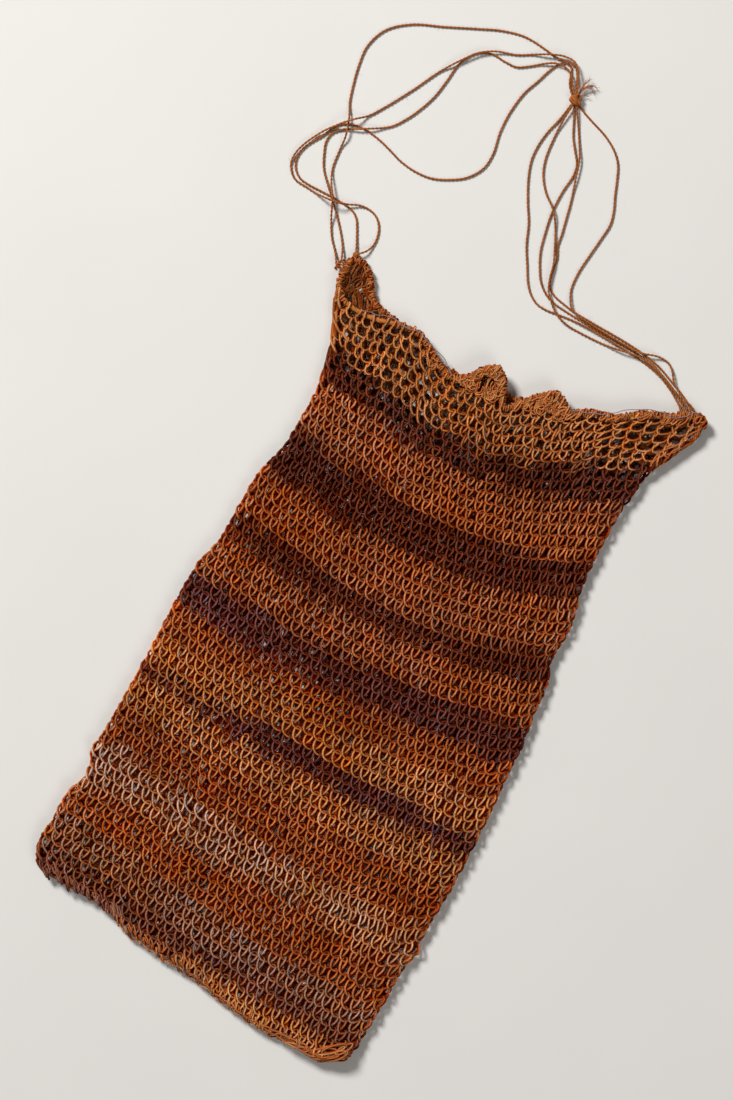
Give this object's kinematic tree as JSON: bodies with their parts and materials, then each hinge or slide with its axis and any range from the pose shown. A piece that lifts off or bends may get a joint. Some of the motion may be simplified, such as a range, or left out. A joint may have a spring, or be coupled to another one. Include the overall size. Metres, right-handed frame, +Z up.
{
  "type": "knotted string bag",
  "caption": "Flat looped string bag with a corded mouth and a long handle of loose strings tied in one knot, lying flat and empty.",
  "frame": {"origin": "under the middle of the empty pouch, on the surface it lies on", "axes": "+Y along the bag from its closed bottom edge to its mouth, +X across it, +Z up from the surface"},
  "size_m": [0.4678, 0.9161, 0.0197],
  "materials": {
    "looped_string": "dry twisted plant fibre, bands of ochre and dark brown",
    "rim_cord": "dry plant fibre cord with loops worked over it",
    "handle_string": "dry two-ply plant fibre string, slightly fuzzy",
    "frayed_fibre": "loose untwisted fibre ends"
  },
  "bodies": {
    "root": {"bag_body": "looped_string", "mouth_rim": "rim_cord", "binding_left": "rim_cord", "binding_right": "rim_cord", "corner_bead": "handle_string", "handle_knot": "handle_string", "knot_tuft": "frayed_fibre", "string_left_1": "handle_string", "string_left_2": "handle_string", "string_left_3": "handle_string", "string_left_4": "handle_string", "string_right_1": "handle_string", "string_right_2": "handle_string", "string_right_3": "handle_string", "string_right_4": "handle_string", "string_right_5": "handle_string"}
  },
  "joints": []
}
